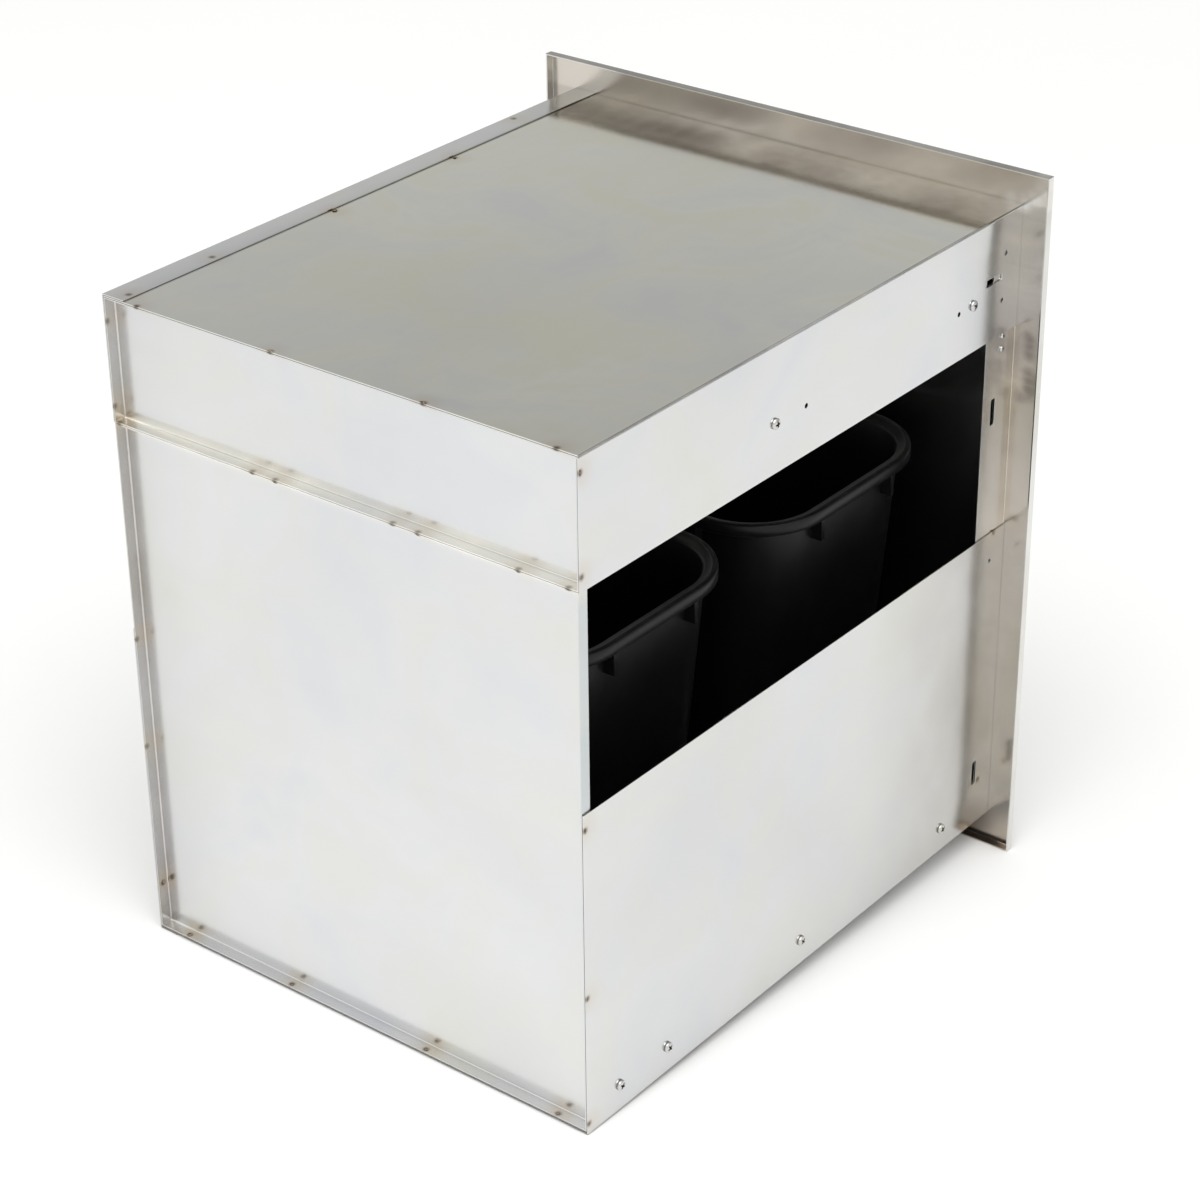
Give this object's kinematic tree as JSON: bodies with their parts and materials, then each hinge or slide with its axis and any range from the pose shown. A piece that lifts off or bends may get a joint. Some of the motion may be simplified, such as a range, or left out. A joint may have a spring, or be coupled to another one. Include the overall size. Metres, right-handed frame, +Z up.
{
  "type": "built-in waste bin drawer cabinet",
  "caption": "Stainless built-in cabinet with a trim flange and open side windows, holding a pull-out drawer with waste bins on ball-bearing slides.",
  "frame": {"origin": "middle of the bottom of the whole object's box, at the lower edge of the trim flange", "axes": "+Z up; -Y is the front, where the drawer opens; +X is to the right as seen from the front"},
  "size_m": [0.541, 0.68, 0.6705],
  "materials": {
    "casing_steel": "satin cold-rolled sheet with heat tint at the tack welds",
    "trim_steel": "satin sheet, slightly tarnished",
    "front_steel": "brushed along its length",
    "handle_steel": "fine brushed tube",
    "slide_zinc": "bright zinc plate",
    "screw_steel": "polished",
    "bin_plastic": "fine-grained moulding",
    "cage_plastic": "natural nylon",
    "catch_plastic": "smooth moulding",
    "rubber": "matt"
  },
  "bodies": {
    "cabinet": {"bottom_panel": "casing_steel", "catch_body": "catch_plastic", "face_frame": "trim_steel", "lower_slide_outer_left": "slide_zinc", "lower_slide_outer_right": "slide_zinc", "lower_slide_screw_left_1": "screw_steel", "lower_slide_screw_left_2": "screw_steel", "lower_slide_screw_left_3": "screw_steel", "lower_slide_screw_left_4": "screw_steel", "lower_slide_screw_right_1": "screw_steel", "lower_slide_screw_right_2": "screw_steel", "lower_slide_screw_right_3": "screw_steel", "lower_slide_screw_right_4": "screw_steel", "rear_panel_lower": "casing_steel", "rear_panel_upper": "casing_steel", "side_panel_lower_left": "casing_steel", "side_panel_lower_right": "casing_steel", "side_panel_upper_left": "casing_steel", "side_panel_upper_right": "casing_steel", "top_panel": "casing_steel", "upper_slide_outer_left": "slide_zinc", "upper_slide_outer_right": "slide_zinc", "upper_slide_screw_left_1": "screw_steel", "upper_slide_screw_left_2": "screw_steel", "upper_slide_screw_right_1": "screw_steel", "upper_slide_screw_right_2": "screw_steel"},
    "slide_middles": {"lower_slide_middle_left": "slide_zinc", "lower_slide_middle_right": "slide_zinc", "upper_slide_middle_left": "slide_zinc", "upper_slide_middle_right": "slide_zinc"},
    "ball_cages_outer": {"lower_ball_cage_outer_left": "cage_plastic", "lower_ball_cage_outer_right": "cage_plastic", "upper_ball_cage_outer_left": "cage_plastic", "upper_ball_cage_outer_right": "cage_plastic"},
    "ball_cages_inner": {"lower_ball_cage_inner_left": "cage_plastic", "lower_ball_cage_inner_right": "cage_plastic", "upper_ball_cage_inner_left": "cage_plastic", "upper_ball_cage_inner_right": "cage_plastic"},
    "drawer": {"bin_divider": "front_steel", "bin_tray": "front_steel", "bumper_left": "rubber", "bumper_right": "rubber", "catch_strike": "slide_zinc", "front_liner": "front_steel", "front_outer_pan": "front_steel", "front_stile_left": "front_steel", "front_stile_right": "front_steel", "handle_bar": "handle_steel", "handle_post_left": "handle_steel", "handle_post_right": "handle_steel", "handle_screw_left": "screw_steel", "handle_screw_right": "screw_steel", "lower_slide_inner_left": "slide_zinc", "lower_slide_inner_right": "slide_zinc", "upper_arm_left": "front_steel", "upper_arm_right": "front_steel", "upper_slide_inner_left": "slide_zinc", "upper_slide_inner_right": "slide_zinc"},
    "bin_front": {"bin_front": "bin_plastic"},
    "bin_rear": {"bin_rear": "bin_plastic"}
  },
  "joints": [
    {"name": "drawer_slide", "type": "slide", "parent": "cabinet", "child": "drawer", "axis": [0, -1, 0], "range_m": [0, 0.53]},
    {"name": "slide_middles_travel", "type": "slide", "parent": "cabinet", "child": "slide_middles", "axis": [0, -1, 0], "range_m": [0, 0.265]},
    {"name": "ball_cages_outer_travel", "type": "slide", "parent": "cabinet", "child": "ball_cages_outer", "axis": [0, -1, 0], "range_m": [0, 0.1325]},
    {"name": "ball_cages_inner_travel", "type": "slide", "parent": "cabinet", "child": "ball_cages_inner", "axis": [0, -1, 0], "range_m": [0, 0.3975]},
    {"name": "bin_front_lift", "type": "slide", "parent": "drawer", "child": "bin_front", "axis": [0, 0, 1], "range_m": [0, 0.2]},
    {"name": "bin_rear_lift", "type": "slide", "parent": "drawer", "child": "bin_rear", "axis": [0, 0, 1], "range_m": [0, 0.2]}
  ],
  "couplings": [
    {"joint": "slide_middles_travel", "follows": "drawer_slide", "ratio": 0.5},
    {"joint": "ball_cages_outer_travel", "follows": "drawer_slide", "ratio": 0.25},
    {"joint": "ball_cages_inner_travel", "follows": "drawer_slide", "ratio": 0.75}
  ]
}
